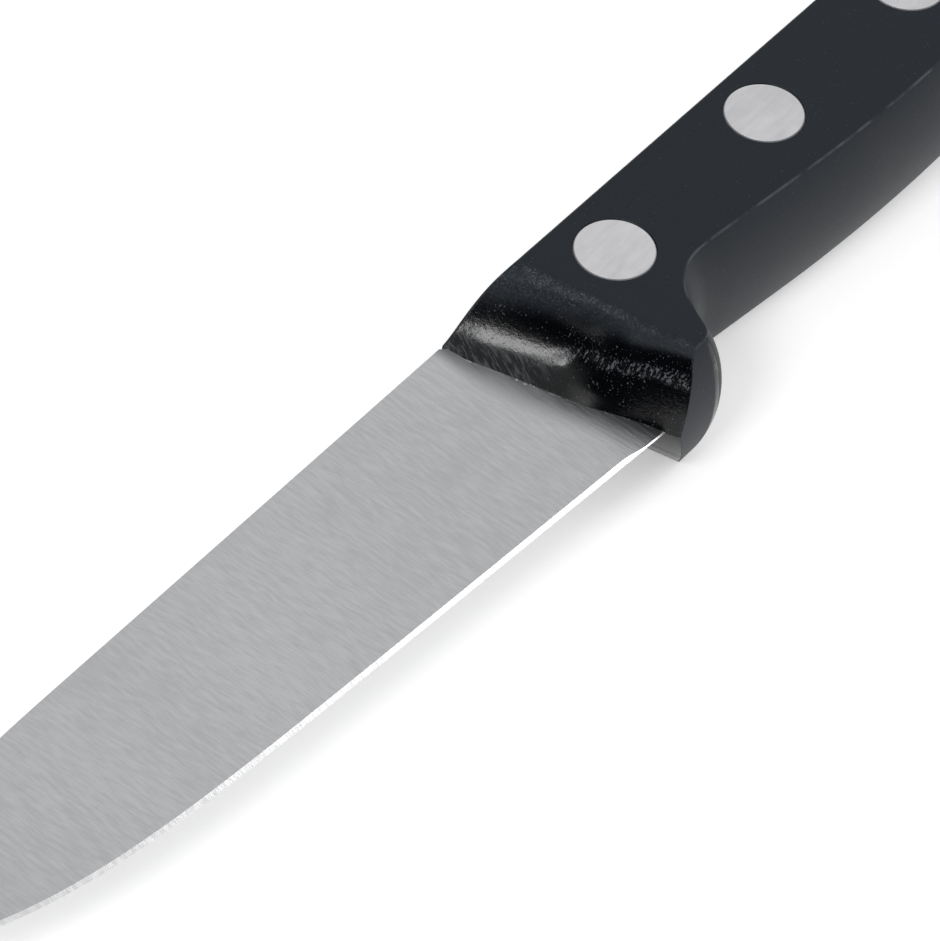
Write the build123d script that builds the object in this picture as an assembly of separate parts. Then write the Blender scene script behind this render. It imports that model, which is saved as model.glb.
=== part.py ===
from build123d import *
import os
from math import cos, radians, sin, sqrt, tan

# A riveted paring knife that lies on its flat side.
# X runs from the tip towards the butt, Y from the cutting edge up to the spine, Z through the handle.
# While it is modelled, the origin is the middle of the front rivet, on the plane between the scales.

# Blade
blade_length = 100.0          # heel to tip
blade_height = 22.0           # spine to cutting edge at the heel
spine_height = 8.1            # spine above the middle of the front rivet
edge_taper = 5.5              # what the straight part of the edge rises over the blade's length
tip_drop = 3.2                # tip below the straight spine
spine_thickness = 2.0
tip_thickness = 0.6
shoulder_thickness = 0.36     # left above the cutting bevel
bevel_width = 0.5
straight_spine_share = 0.64   # of the blade's length, where the spine starts to drop
edge_sweep_power = 8          # how late the edge sweeps up to the tip
tip_end_share = 0.997         # where the last section of the blade stands
tip_bevel_share = 0.4         # most that the bevel may take of a low section
blade_sections = 20

# Tang
root_depth = 2.4              # how far the full blade runs in between the scales
root_overlap = 1.0            # of the tang into the root
tang_root_height = 13.0
tang_front_height = 10.0
tang_end_height = 7.0
tang_flare = 5.0              # length over which the root narrows to the tang
tang_past_rivet = 8.5         # tang behind the rear rivet
tang_corner_radius = 2.5

# Handle, seen from the side, on the plane between the scales
handle_thickness = 16.0
crown = 2.1                   # what the rim draws in from the middle plane to the flat side
guard_drop = 15.4             # underside of the finger guard below the front rivet
guard_back = 3.77             # where the guard's underside ends, ahead of the front rivet
guard_corner_radius = 4.0
guard_lean = 63.0             # degrees, back of the guard
guard_back_length = 2.98
finger_radius = 4.9
throat_radius = 25.0
belly_slope = 5.7             # degrees down towards the butt
belly_straight = 12.0
belly_radius = 210.0
waist_rise = 5.0              # degrees up towards the waist
waist_radius = 26.0
hook_slope = 30.0             # degrees down into the hook
hook_radius = 5.5
butt_lean = 84.0              # degrees, face of the butt
butt_corner_radius = 9.0
spine_droop = 8.6             # degrees, spine at the butt
spine_droop_radius = 200.0
blank_nose = 22.0             # uncut front of the scale ahead of the front rivet
nose_corner_radius = 4.0
rim_break = 0.3               # edge taken off all round the flat side

# Front slope of the handle, from its crease on the flat side down to the blade
crease_at_spine = 8.9         # ahead of the front rivet
crease_at_guard = 4.6
front_at_spine = 15.2
front_at_heel = 9.2
spine_slope_shares = ((0.22, 0.24), (0.59, 0.90))   # how far forward and how deep the curve is led
guard_slope_shares = ((0.30, 0.14), (0.87, 0.69))

# Two-part rivets
rivet_spacing = 24.5
rivet_line_rise = 0.9         # degrees, line of the rivets against the spine
head_diameter = 8.0
head_thickness = 1.8
head_chamfer = 0.12
socket_diameter = 5.0
pin_diameter = 3.4
socket_end_gap = 0.4          # socket short of the opposite head
pin_end_gap = 0.8             # pin short of the bottom of its socket
socket_floor = 1.2            # solid metal under the socket half's head

# Clearances
tang_clearance = 0.03         # each side of the tang in its pocket
bore_clearance = 0.02         # radial, round heads and shanks
pin_clearance = 0.01          # radial, pin in its socket
overrun = 1.0                 # how far a cutting shape reaches past what it cuts

half_thickness = handle_thickness / 2
crown_radius = (half_thickness**2 + crown**2) / (2 * crown)
heel_x = -front_at_heel
tip_sweep = blade_height - edge_taper - tip_drop
rivet_count = 3
rivet_names = ("front", "middle", "rear")
rivet_places = [
    (i * rivet_spacing * cos(radians(rivet_line_rise)), i * rivet_spacing * sin(radians(rivet_line_rise)))
    for i in range(rivet_count)
]


def spine_y(share):
    """Height of the spine at a share of the blade's length from the heel."""
    past = max(0.0, (share - straight_spine_share) / (1 - straight_spine_share))
    return spine_height - tip_drop * past**2


def edge_y(share):
    """Height of the cutting edge at a share of the blade's length from the heel."""
    sweep = tip_sweep * max(0.0, share) ** edge_sweep_power
    return spine_height - blade_height + edge_taper * share + sweep


def front_x(y):
    """Where the scales end on the blade, at a height."""
    slant = (front_at_spine - front_at_heel) / blade_height
    return -front_at_spine + slant * (spine_height - y)


def blade_section(share, grow):
    """Five-sided section of the blade: spine, two ground faces and two bevel faces."""
    top = spine_y(share)
    bottom = edge_y(share)
    bevel = min(bevel_width, tip_bevel_share * (top - bottom))
    taper = max(0.0, share)
    spine_half = (spine_thickness + (tip_thickness - spine_thickness) * taper) / 2 + grow
    shoulder_half = shoulder_thickness / 2 + grow
    outline = Polyline(
        (top + grow, -spine_half),
        (top + grow, spine_half),
        (bottom + bevel, shoulder_half),
        (bottom - grow, 0),
        (bottom + bevel, -shoulder_half),
        close=True,
    )
    station = Plane(origin=(heel_x - share * blade_length, 0, 0), x_dir=(0, 1, 0), z_dir=(1, 0, 0))
    return station * make_face(outline)


def blade_body(grow=0.0):
    """Full flat ground blade with its root, closed behind by a slanted cut parallel to the handle's front."""
    first = -(root_depth + overrun) / blade_length
    turns = [90.0 * k / blade_sections for k in range(blade_sections + 1)]
    shares = [first + (tip_end_share - first) * sin(radians(turn)) for turn in turns]
    body = loft([blade_section(share, grow) for share in shares], ruled=True)
    low = spine_height - blade_height - overrun
    high = spine_height + overrun
    back = root_depth + grow
    behind = Polyline(
        (front_x(low) + back, low),
        (front_x(high) + back, high),
        (blade_length, high),
        (blade_length, low),
        close=True,
    )
    return body - extrude(make_face(behind), amount=spine_thickness, both=True)


def tang_body(grow=0.0):
    """Hidden tang: a plate that flares into the blade's root and narrows towards the rear rivet."""
    rear_x, rear_y = rivet_places[-1]
    end_x = rear_x + tang_past_rivet
    flare_x = front_x(0) + root_depth + tang_flare
    rise = tan(radians(rivet_line_rise))
    half_root = tang_root_height / 2
    half_front = tang_front_height / 2
    half_end = tang_end_height / 2
    start = root_depth - root_overlap
    outline = Polyline(
        (front_x(-half_root) + start, -half_root),
        (front_x(half_root) + start, half_root),
        (flare_x, half_front),
        (end_x, rear_y + half_end + rise * tang_past_rivet),
        (end_x, rear_y - half_end + rise * tang_past_rivet),
        (flare_x, -half_front),
        close=True,
    )
    plate = make_face(outline)
    rear_corners = plate.vertices().sort_by(Axis.X)[-2:]
    plate = fillet(rear_corners, tang_corner_radius)
    if grow > 0:
        plate = offset(plate, amount=grow)
    return extrude(plate, amount=spine_thickness / 2 + grow, both=True)


def make_blade():
    """Blade and tang in one piece, with a hole for each rivet."""
    blade = blade_body() + tang_body()
    for x, y in rivet_places:
        hole = Cylinder(socket_diameter / 2 + bore_clearance, spine_thickness + 2 * overrun)
        blade -= Pos(x, y) * hole
    return blade


def arc_from(path, radius, turn):
    """Adds an arc that leaves the path's end in its own direction; a positive turn goes left."""
    last = path[-1]
    path.append(JernArc(start=last @ 1, tangent=last % 1, radius=radius, arc_size=turn))


def line_from(path, length):
    """Adds a straight stretch that leaves the path's end in its own direction."""
    last = path[-1]
    path.append(Line(last @ 1, (last @ 1) + (last % 1) * length))


def rim_path():
    """Outline of the handle between the scales: guard, finger hollow, belly, waist, hook, butt and spine."""
    path = [Line((-blank_nose + nose_corner_radius, -guard_drop), (-guard_back, -guard_drop))]
    arc_from(path, guard_corner_radius, guard_lean)
    line_from(path, guard_back_length)
    arc_from(path, finger_radius, -guard_lean)
    arc_from(path, throat_radius, -belly_slope)
    line_from(path, belly_straight)
    arc_from(path, belly_radius, belly_slope + waist_rise)
    arc_from(path, waist_radius, -waist_rise - hook_slope)
    arc_from(path, hook_radius, hook_slope + butt_lean)
    droop_end = 180 - spine_droop
    corner_rise = butt_corner_radius * (cos(radians(butt_lean)) - cos(radians(droop_end)))
    droop_rise = spine_droop_radius * (1 - cos(radians(spine_droop)))
    left = spine_height - (path[-1] @ 1).Y - corner_rise - droop_rise
    line_from(path, left / sin(radians(butt_lean)))
    arc_from(path, butt_corner_radius, droop_end - butt_lean)
    arc_from(path, spine_droop_radius, spine_droop)
    path.append(Line(path[-1] @ 1, (-blank_nose + nose_corner_radius, spine_height)))
    arc_from(path, nose_corner_radius, 90)
    path.append(Line(path[-1] @ 1, (-blank_nose, -guard_drop + nose_corner_radius)))
    arc_from(path, nose_corner_radius, 90)
    return Wire(path)


def rim_inset(z):
    """How far the swelling rim lies inside the handle's outline, at a height over the middle plane."""
    return crown_radius - sqrt(crown_radius**2 - z**2)


def crown_cutter(path):
    """What is taken off round the rim, so that it swells from the flat side to the middle plane."""
    start = Plane(origin=path @ 0, x_dir=(0, -1, 0), z_dir=-(path % 0))
    top = half_thickness
    edge = (-crown, top)
    lean = top / (crown_radius - crown) * overrun
    swell = ThreePointArc((0, 0), (-rim_inset(top / 2), top / 2), edge)
    sides = Polyline(
        edge,
        (-crown - lean, top + overrun),
        (overrun, top + overrun),
        (overrun, -overrun),
        (0, -overrun),
        (0, 0),
    )
    return sweep(start * make_face([swell, sides]), path=path)


def slope_profile(y):
    """Curve of the front slope at a height, from the flat side down past the middle plane, as a cutting face."""
    spine_part = (y + guard_drop) / (spine_height + guard_drop)
    crease = -crease_at_guard + (crease_at_guard - crease_at_spine) * spine_part
    top = half_thickness
    foot = spine_thickness / 2 * spine_part
    reach = crease - front_x(y)
    depth = top - foot
    controls = [(crease, top)]
    for at_guard, at_spine in zip(guard_slope_shares, spine_slope_shares):
        forward = at_guard[0] + (at_spine[0] - at_guard[0]) * spine_part
        down = at_guard[1] + (at_spine[1] - at_guard[1]) * spine_part
        controls.append((crease - forward * reach, top - down * depth))
    controls.append((front_x(y), foot))
    start, lead, end = Vector(*controls[0]), Vector(*controls[1]), Vector(*controls[-1])
    back = start + (start - lead) * (overrun / (start.Y - lead.Y))
    clear_x = -blank_nose - overrun
    curve = Bezier(*controls)
    sides = Polyline(end, (end.X, -overrun), (clear_x, -overrun), (clear_x, top + overrun), back, start)
    station = Plane(origin=(0, y, 0), x_dir=(1, 0, 0), z_dir=(0, -1, 0))
    return station * make_face([curve, sides])


def make_scale():
    """Near scale: flat side, swelling rim, curved front slope, pocket for the tang and stepped rivet bores."""
    path = rim_path()
    scale = extrude(make_face(path), amount=half_thickness)
    scale -= crown_cutter(path)
    high = slope_profile(spine_height + overrun)
    low = slope_profile(-guard_drop - overrun)
    scale -= loft([low, high])
    flat = scale.faces().filter_by(Axis.Z).sort_by(Axis.Z)[-1]
    scale = chamfer(flat.edges(), rim_break)
    scale -= blade_body(tang_clearance) + tang_body(tang_clearance)
    for x, y in rivet_places:
        bore = Cylinder(socket_diameter / 2 + bore_clearance, handle_thickness + 2 * overrun)
        seat = Cylinder(
            head_diameter / 2 + bore_clearance,
            head_thickness + overrun,
            align=(Align.CENTER, Align.CENTER, Align.MIN),
        )
        scale -= Pos(x, y) * bore
        scale -= Pos(x, y, half_thickness - head_thickness) * seat
    return scale


def rivet_head():
    """Flat round head, flush with the flat side of the scale, its rim broken by a small chamfer."""
    head = Cylinder(head_diameter / 2, head_thickness, align=(Align.CENTER, Align.CENTER, Align.MAX))
    head = chamfer(head.edges().filter_by(GeomType.CIRCLE).sort_by(Axis.Z)[-1], head_chamfer)
    return Pos(0, 0, half_thickness) * head


def make_socket_half():
    """Half of a rivet with a hollow shank, seated in the near scale."""
    under_head = half_thickness - head_thickness
    length = 2 * under_head - socket_end_gap
    shank = Cylinder(socket_diameter / 2, length, align=(Align.CENTER, Align.CENTER, Align.MAX))
    bore = Cylinder(
        pin_diameter / 2 + pin_clearance,
        length - socket_floor + overrun,
        align=(Align.CENTER, Align.CENTER, Align.MAX),
    )
    shank = Pos(0, 0, under_head) * shank
    bore = Pos(0, 0, under_head - socket_floor) * bore
    return rivet_head() + shank - bore


def make_pin_half():
    """Half of a rivet with a solid pin, seated in the far scale and driven into the socket."""
    under_head = half_thickness - head_thickness
    length = 2 * under_head - socket_floor - pin_end_gap
    pin = Cylinder(pin_diameter / 2, length, align=(Align.CENTER, Align.CENTER, Align.MAX))
    return mirror(rivet_head() + Pos(0, 0, under_head) * pin, about=Plane.XY)


def build():
    """All pieces of the knife, moved so that it lies on Z = 0 with the middle of its outline above the origin."""
    scale = make_scale()
    pieces = {
        "blade": make_blade(),
        "near_scale": scale,
        "far_scale": mirror(scale, about=Plane.XY),
    }
    for name, (x, y) in zip(rivet_names, rivet_places):
        pieces[name + "_rivet_socket"] = Pos(x, y) * make_socket_half()
        pieces[name + "_rivet_pin"] = Pos(x, y) * make_pin_half()
    tip = pieces["blade"].bounding_box().min
    handle = scale.bounding_box()
    seat = Pos(-(tip.X + handle.max.X) / 2, -(handle.min.Y + handle.max.Y) / 2, half_thickness)
    return {name: seat * piece for name, piece in pieces.items()}


os.makedirs("parts", exist_ok=True)
for node, piece in build().items():
    piece.label = node
    export_step(piece, os.path.join("parts", node + ".step"))
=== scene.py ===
import logging
import math
from dataclasses import dataclass, field
from enum import Enum

import bmesh
import bpy
import numpy as np
from mathutils import Matrix, Vector
from mathutils.geometry import delaunay_2d_cdt

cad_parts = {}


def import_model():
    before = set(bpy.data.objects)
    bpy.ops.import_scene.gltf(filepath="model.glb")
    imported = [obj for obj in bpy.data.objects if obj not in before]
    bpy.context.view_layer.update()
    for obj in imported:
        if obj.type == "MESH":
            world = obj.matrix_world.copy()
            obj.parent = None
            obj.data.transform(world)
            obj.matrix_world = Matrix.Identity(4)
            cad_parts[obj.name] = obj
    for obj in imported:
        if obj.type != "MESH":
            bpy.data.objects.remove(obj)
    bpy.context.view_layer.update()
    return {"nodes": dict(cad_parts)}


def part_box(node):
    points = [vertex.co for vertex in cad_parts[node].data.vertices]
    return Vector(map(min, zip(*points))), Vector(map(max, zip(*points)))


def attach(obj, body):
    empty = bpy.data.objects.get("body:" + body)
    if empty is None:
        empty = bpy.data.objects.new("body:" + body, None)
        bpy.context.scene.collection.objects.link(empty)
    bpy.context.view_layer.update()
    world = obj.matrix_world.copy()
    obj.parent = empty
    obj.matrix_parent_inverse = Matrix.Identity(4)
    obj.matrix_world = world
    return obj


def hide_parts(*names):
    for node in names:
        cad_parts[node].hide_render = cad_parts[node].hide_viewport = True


MM = 0.001
ROOT_BODY = "root"
Pair = tuple[float, float]
Triple = tuple[float, float, float]
log = logging.getLogger("paring_knife")


class Side(Enum):
    """The two sides of the knife, as the sign of the height over the plane between the scales."""

    NEAR = 1
    FAR = -1


class Slot(Enum):
    """The record's material slots that the new pieces take."""

    BLADE = "blade_steel"
    HANDLE = "handle_plastic"


def smooth_step(low: float, high: float, values: np.ndarray) -> np.ndarray:
    """A rise from 0 at low to 1 at high with level ends: 3 t squared less 2 t cubed."""
    t = np.clip((values - low) / (high - low), 0.0, 1.0)
    return t * t * (3.0 - 2.0 * t)


def grid_faces(rows: int, columns: int, closed: bool = False) -> np.ndarray:
    """Four corners of each cell of a grid of points.

    Args:
        rows: Number of rows of points.
        columns: Number of points in a row.
        closed: Whether each row closes on itself.

    Returns:
        One row of four point numbers per cell.
    """
    across = np.arange(columns if closed else columns - 1)
    beyond = (across + 1) % columns
    start = np.arange(rows - 1)[:, None] * columns
    corners = [start + across, start + beyond, start + columns + beyond, start + columns + across]
    return np.stack(corners, axis=-1).reshape(-1, 4)


def store(mesh: bpy.types.Mesh, name: str, values: np.ndarray) -> None:
    """Keeps a number at each of a mesh's points, where a material reads it by name."""
    layer = mesh.attributes.new(name, "FLOAT", "POINT")
    layer.data.foreach_set("value", values.astype(np.float32))


@dataclass(frozen=True)
class Bench:
    """Place of the knife's own origin: the front rivet's middle, between the two scales."""

    origin: Triple

    @classmethod
    def from_frame(cls) -> "Bench":
        """Reads the origin from the boxes of the front rivet and the near scale.

        Returns:
            The bench.
        """
        low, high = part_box("front_rivet_socket")
        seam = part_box("near_scale")[0].z
        return cls(((low.x + high.x) / 2, (low.y + high.y) / 2, seam))

    def place(self, points: np.ndarray) -> np.ndarray:
        """Points in the knife's millimetres as metres in the model."""
        return points * MM + np.array(self.origin)

    def points_of(self, mesh: bpy.types.Mesh) -> np.ndarray:
        """A mesh's points in the knife's millimetres.

        Args:
            mesh: A mesh that lies in the model.

        Returns:
            One row of three coordinates per point.
        """
        flat = np.empty(len(mesh.vertices) * 3, np.float32)
        mesh.vertices.foreach_get("co", flat)
        return (flat.reshape(-1, 3) - np.array(self.origin)) / MM


@dataclass
class Sheaf:
    """Patches of points and faces that meet at their borders and are welded into one mesh."""

    points: list[np.ndarray] = field(default_factory=list)
    faces: list[list[int]] = field(default_factory=list)
    finishes: list[int] = field(default_factory=list)
    count: int = 0

    def add(self, points: np.ndarray, faces: np.ndarray, finish: int = 0) -> None:
        """Adds one patch, whose faces count its own points from zero.

        Args:
            points: Points in millimetres, the last axis their three coordinates.
            faces: Corner numbers, one row per face.
            finish: Number of the material that the patch takes.
        """
        flat = points.reshape(-1, 3)
        self.points.append(flat)
        self.faces.extend((faces + self.count).tolist())
        self.finishes.extend([finish] * len(faces))
        self.count += len(flat)

    def add_grid(self, points: np.ndarray, finish: int = 0, closed: bool = False) -> None:
        """Adds a patch whose points are a grid of rows and columns.

        Args:
            points: Array of rows, columns and three coordinates.
            finish: Number of the material that the patch takes.
            closed: Whether each row closes on itself.
        """
        self.add(points, grid_faces(points.shape[0], points.shape[1], closed), finish)

    def add_cap(self, loop: np.ndarray) -> None:
        """Adds one flat face with its corners at the points of a loop."""
        self.add(loop, np.arange(len(loop))[None])

    def weld(self, name: str, bench: Bench, reach: float) -> bpy.types.Object:
        """Makes one closed, outward facing mesh of all the patches.

        Args:
            name: Name of the new object.
            bench: Where the knife's own axes lie in the model.
            reach: Distance in millimetres within which border points become one.

        Returns:
            The object, linked to the scene.
        """
        mesh = bpy.data.meshes.new(name)
        mesh.from_pydata(bench.place(np.concatenate(self.points)), [], self.faces)
        mesh.polygons.foreach_set("material_index", self.finishes)
        work = bmesh.new()
        work.from_mesh(mesh)
        bmesh.ops.remove_doubles(work, verts=work.verts, dist=reach * MM)
        bmesh.ops.dissolve_degenerate(work, edges=work.edges, dist=reach * MM)
        bmesh.ops.recalc_face_normals(work, faces=work.faces)
        work.to_mesh(mesh)
        work.free()
        mesh.shade_smooth()
        piece = bpy.data.objects.new(name, mesh)
        bpy.context.scene.collection.objects.link(piece)
        return piece


@dataclass
class Outline:
    """A chain of straight runs and arcs, each leaving the last one in its own direction."""

    start: Pair
    heading: float = 0.0
    straight_step: float = 1.4
    arc_step: float = 0.35
    degree_step: float = 4.0
    fewest_straight: int = 2
    fewest_round: int = 6
    points: list[np.ndarray] = field(default_factory=list)
    headings: list[np.ndarray] = field(default_factory=list)

    @property
    def end(self) -> np.ndarray:
        """Last point so far."""
        return self.points[-1][-1] if self.points else np.array(self.start)

    def _keep(self, points: np.ndarray, headings: np.ndarray) -> "Outline":
        """Adds a run without its first point where one is already there.

        Args:
            points: The run's points.
            headings: Its direction at each point, as an angle in radians.

        Returns:
            The same outline.
        """
        skip = 1 if self.points else 0
        self.points.append(points[skip:])
        self.headings.append(headings[skip:])
        self.heading = float(headings[-1])
        return self

    def line(self, length: float, steps: int = 0) -> "Outline":
        """Adds a straight run: start plus t times length along the heading, for t from 0 to 1.

        Args:
            length: Length in millimetres.
            steps: Number of steps, or 0 to take it from the length.

        Returns:
            The same outline.
        """
        count = steps or max(self.fewest_straight, math.ceil(length / self.straight_step))
        t = np.linspace(0.0, 1.0, count + 1)[:, None]
        way = np.array([math.cos(self.heading), math.sin(self.heading)])
        return self._keep(self.end + t * length * way, np.full(count + 1, self.heading))

    def arc(self, radius: float, turn: float) -> "Outline":
        """Adds an arc: centre plus radius times the direction that turns from start to end.

        Args:
            radius: Radius in millimetres.
            turn: Degrees, positive to the left.

        Returns:
            The same outline.
        """
        swing = math.radians(turn)
        along = math.ceil(abs(swing) * radius / self.arc_step)
        count = max(self.fewest_round, along, math.ceil(abs(turn) / self.degree_step))
        side = math.copysign(1.0, swing)
        left = np.array([-math.sin(self.heading), math.cos(self.heading)])
        centre = self.end + side * radius * left
        headings = self.heading + np.linspace(0.0, swing, count + 1)
        lefts = np.stack([-np.sin(headings), np.cos(headings)], axis=-1)
        return self._keep(centre - side * radius * lefts, headings)

    def arrays(self) -> tuple[np.ndarray, np.ndarray]:
        """All points, and the unit vectors that point left of the way round, which is inwards."""
        headings = np.concatenate(self.headings)
        return np.concatenate(self.points), np.stack([-np.sin(headings), np.cos(headings)], axis=-1)


@dataclass
class HandleShape:
    """Sizes of the handle in millimetres and degrees, and the surfaces that follow from them."""

    half_thickness: float = 8.0
    crown: float = 2.1
    rim_radius: float = 0.35
    spine_height: float = 8.1
    guard_drop: float = 15.4
    guard_back: float = 3.77
    guard_corner_radius: float = 4.0
    guard_lean: float = 63.0
    guard_back_length: float = 2.98
    finger_radius: float = 4.9
    throat_radius: float = 25.0
    belly_slope: float = 5.7
    belly_straight: float = 12.0
    belly_radius: float = 210.0
    waist_rise: float = 5.0
    waist_radius: float = 26.0
    hook_slope: float = 30.0
    hook_radius: float = 5.5
    butt_lean: float = 84.0
    butt_corner_radius: float = 9.0
    spine_droop: float = 8.6
    spine_droop_radius: float = 200.0
    crease_at_spine: float = 8.9
    crease_at_guard: float = 4.6
    front_at_spine: float = 15.2
    front_at_heel: float = 9.2
    blade_height: float = 22.0
    foot_at_spine: float = 1.0
    bow_depth: float = 0.75
    bow_rise: Pair = (-12.0, -4.5)
    bow_fall: Pair = (4.5, 9.5)
    spine_slope_shares: tuple[Pair, Pair] = ((0.22, 0.24), (0.59, 0.90))
    guard_slope_shares: tuple[Pair, Pair] = ((0.30, 0.14), (0.87, 0.69))
    valley_shares: tuple[Pair, Pair] = ((-0.25, 0.62), (-0.85, 0.06))
    valley_rise: Pair = (0.32, 0.57)
    soft_at_spine: float = 1.9
    soft_at_guard: float = 0.35
    crease_share: float = 0.3
    crease_pace: float = 3.2
    crease_limits: Pair = (0.02, 0.6)
    border_margin: float = 1.0
    border_halvings: int = 50
    crown_steps: int = 14
    rounding_steps: int = 7
    guard_steps: int = 6

    @property
    def crown_radius(self) -> float:
        """Radius of the arc that the rim's section follows."""
        return (self.half_thickness**2 + self.crown**2) / (2 * self.crown)

    @property
    def rounding_centre(self) -> Pair:
        """Inset and height of the centre of the small rounding between the rim and the flat side.

        Returns:
            The inset and the height.
        """
        height = self.half_thickness - self.rim_radius
        reach = self.crown_radius - self.rim_radius
        return self.crown_radius - math.sqrt(reach**2 - height**2), height

    @property
    def crown_end(self) -> float:
        """Height at which the crown arc passes into the small rounding."""
        level = self.rounding_centre[1]
        return level * self.crown_radius / (self.crown_radius - self.rim_radius)

    def inset(self, height: np.ndarray) -> np.ndarray:
        """How far the rim lies inside the outline.

        Up to the small rounding it is the crown arc: radius less the root of radius squared less
        height squared. Over that it is the rounding's own arc, which ends level with the flat side.

        Args:
            height: Heights over the middle plane.

        Returns:
            The inset at each height.
        """
        centre, level = self.rounding_centre
        end, radius = self.crown_end, self.crown_radius
        arc = radius - np.sqrt(radius**2 - np.minimum(height, end) ** 2)
        drop = np.clip(height - level, 0.0, self.rim_radius)
        small = centre - np.sqrt(self.rim_radius**2 - drop**2)
        return np.where(height <= end, arc, small)

    def levels(self) -> np.ndarray:
        """Heights of the rim's rows: even on the crown arc, then at even turns of the rounding.

        Returns:
            The heights from the middle plane to the flat side.
        """
        level, end = self.rounding_centre[1], self.crown_end
        lean = math.asin((end - level) / self.rim_radius)
        angles = np.linspace(lean, math.pi / 2, self.rounding_steps + 1)[1:]
        arc = np.linspace(0.0, end, self.crown_steps + 1)
        return np.concatenate([arc, level + self.rim_radius * np.sin(angles)])

    def rim(self) -> Outline:
        """Outline on the middle plane, from the guard's crease round the butt to the spine's.

        Returns:
            The outline, walked with the handle on its left.
        """
        start = -self.crease_at_guard + self.soft_at_guard
        chain = Outline((start, -self.guard_drop))
        chain.line(-self.guard_back - start, steps=self.guard_steps)
        chain.arc(self.guard_corner_radius, self.guard_lean).line(self.guard_back_length)
        chain.arc(self.finger_radius, -self.guard_lean).arc(self.throat_radius, -self.belly_slope)
        chain.line(self.belly_straight).arc(self.belly_radius, self.belly_slope + self.waist_rise)
        chain.arc(self.waist_radius, -self.waist_rise - self.hook_slope)
        chain.arc(self.hook_radius, self.hook_slope + self.butt_lean)
        droop_end = 180.0 - self.spine_droop
        lean = math.cos(math.radians(self.butt_lean)) - math.cos(math.radians(droop_end))
        droop = self.spine_droop_radius * (1.0 - math.cos(math.radians(self.spine_droop)))
        left = self.spine_height - chain.end[1] - self.butt_corner_radius * lean - droop
        chain.line(left / math.sin(math.radians(self.butt_lean)))
        chain.arc(self.butt_corner_radius, droop_end - self.butt_lean)
        chain.arc(self.spine_droop_radius, self.spine_droop)
        stop = -self.crease_at_spine + self.soft_at_spine
        return chain.line(chain.end[0] - stop)

    def spine_share(self, y: np.ndarray) -> np.ndarray:
        """0 at the guard's underside and 1 at the spine."""
        return (y + self.guard_drop) / (self.spine_height + self.guard_drop)

    def softness(self, y: np.ndarray) -> np.ndarray:
        """Width of the soft turn at the crease, at a height."""
        widening = self.soft_at_spine - self.soft_at_guard
        return self.soft_at_guard + widening * self.spine_share(y)

    def front_x(self, y: np.ndarray) -> np.ndarray:
        """Where the scales end on the blade: a slanting line with a shallow bow forwards.

        Args:
            y: Heights.

        Returns:
            The line's x at each height.
        """
        slant = (self.front_at_spine - self.front_at_heel) / self.blade_height
        bow = smooth_step(*self.bow_rise, y) * (1.0 - smooth_step(*self.bow_fall, y))
        return -self.front_at_spine + slant * (self.spine_height - y) - self.bow_depth * bow

    def crease_x(self, y: np.ndarray) -> np.ndarray:
        """Where the flat side turns down into the front slope, at a height."""
        lean = self.crease_at_guard - self.crease_at_spine
        return -self.crease_at_guard + lean * self.spine_share(y)

    def slope(self, t: np.ndarray, y: np.ndarray) -> tuple[np.ndarray, np.ndarray]:
        """The front slope as a surface of two parameters.

        For each height y the section is a cubic Bezier curve from the crease down to the blade. Its
        two middle points go from the guard's to the spine's in proportion to the height, and over
        the blade's middle they are led back and down, which hollows the slope into a valley. The
        first stretch is replaced by a parabola that leaves the flat side level, so that the crease
        is soft at the spine and crisp at the guard.

        Args:
            t: 0 on the flat side to 1 at the blade.
            y: Height of the section.

        Returns:
            The x and z of each point.
        """
        part, soft = self.spine_share(y), self.softness(y)
        crease, top = self.crease_x(y), self.half_thickness
        reach, depth = crease - self.front_x(y), top - self.foot_at_spine * part
        valley = smooth_step(*self.valley_rise, part) * np.clip(1.0 - part, 0.0, 1.0)
        first, second = (
            [low[k] + (high[k] - low[k]) * part + extra[k] * valley for k in (0, 1)]
            for low, high, extra in zip(
                self.guard_slope_shares, self.spine_slope_shares, self.valley_shares
            )
        )

        def curve(s: np.ndarray) -> tuple[np.ndarray, np.ndarray]:
            """Bezier curve: the middle points and the end weighted by the cubic's terms.

            Args:
                s: 0 at the crease to 1 at the blade.

            Returns:
                The x and z of each point.
            """
            a, b, c = 3 * s * (1 - s) ** 2, 3 * s**2 * (1 - s), s**3
            forward = a * first[0] + b * second[0] + c
            down = a * first[1] + b * second[1] + c
            return crease - reach * forward, top - depth * down

        def direction(s: np.ndarray) -> tuple[np.ndarray, np.ndarray]:
            """Direction of the Bezier curve: the steps between its points weighted in their turn.

            Args:
                s: 0 at the crease to 1 at the blade.

            Returns:
                The direction's x and z.
            """
            a, b, c = 3 * (1 - s) ** 2, 6 * s * (1 - s), 3 * s**2
            forward = a * first[0] + b * (second[0] - first[0]) + c * (1 - second[0])
            down = a * first[1] + b * (second[1] - first[1]) + c * (1 - second[1])
            return -reach * forward, -depth * down

        pace = self.crease_pace * np.hypot(first[0] * reach, first[1] * depth)
        join = np.clip(soft / pace, *self.crease_limits)
        join_x, join_z = curve(join)
        way_x, way_z = direction(join)
        knee_x = join_x - way_x * (join_z - top) / way_z
        w = np.clip(t / self.crease_share, 0.0, 1.0)
        bend_x = (1 - w) ** 2 * (crease + soft) + 2 * w * (1 - w) * knee_x + w**2 * join_x
        bend_z = (1 - w**2) * top + w**2 * join_z
        past = np.clip((t - self.crease_share) / (1 - self.crease_share), 0.0, 1.0)
        curve_x, curve_z = curve(join + (1 - join) * past)
        bending = t < self.crease_share
        return np.where(bending, bend_x, curve_x), np.where(bending, bend_z, curve_z)

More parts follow.
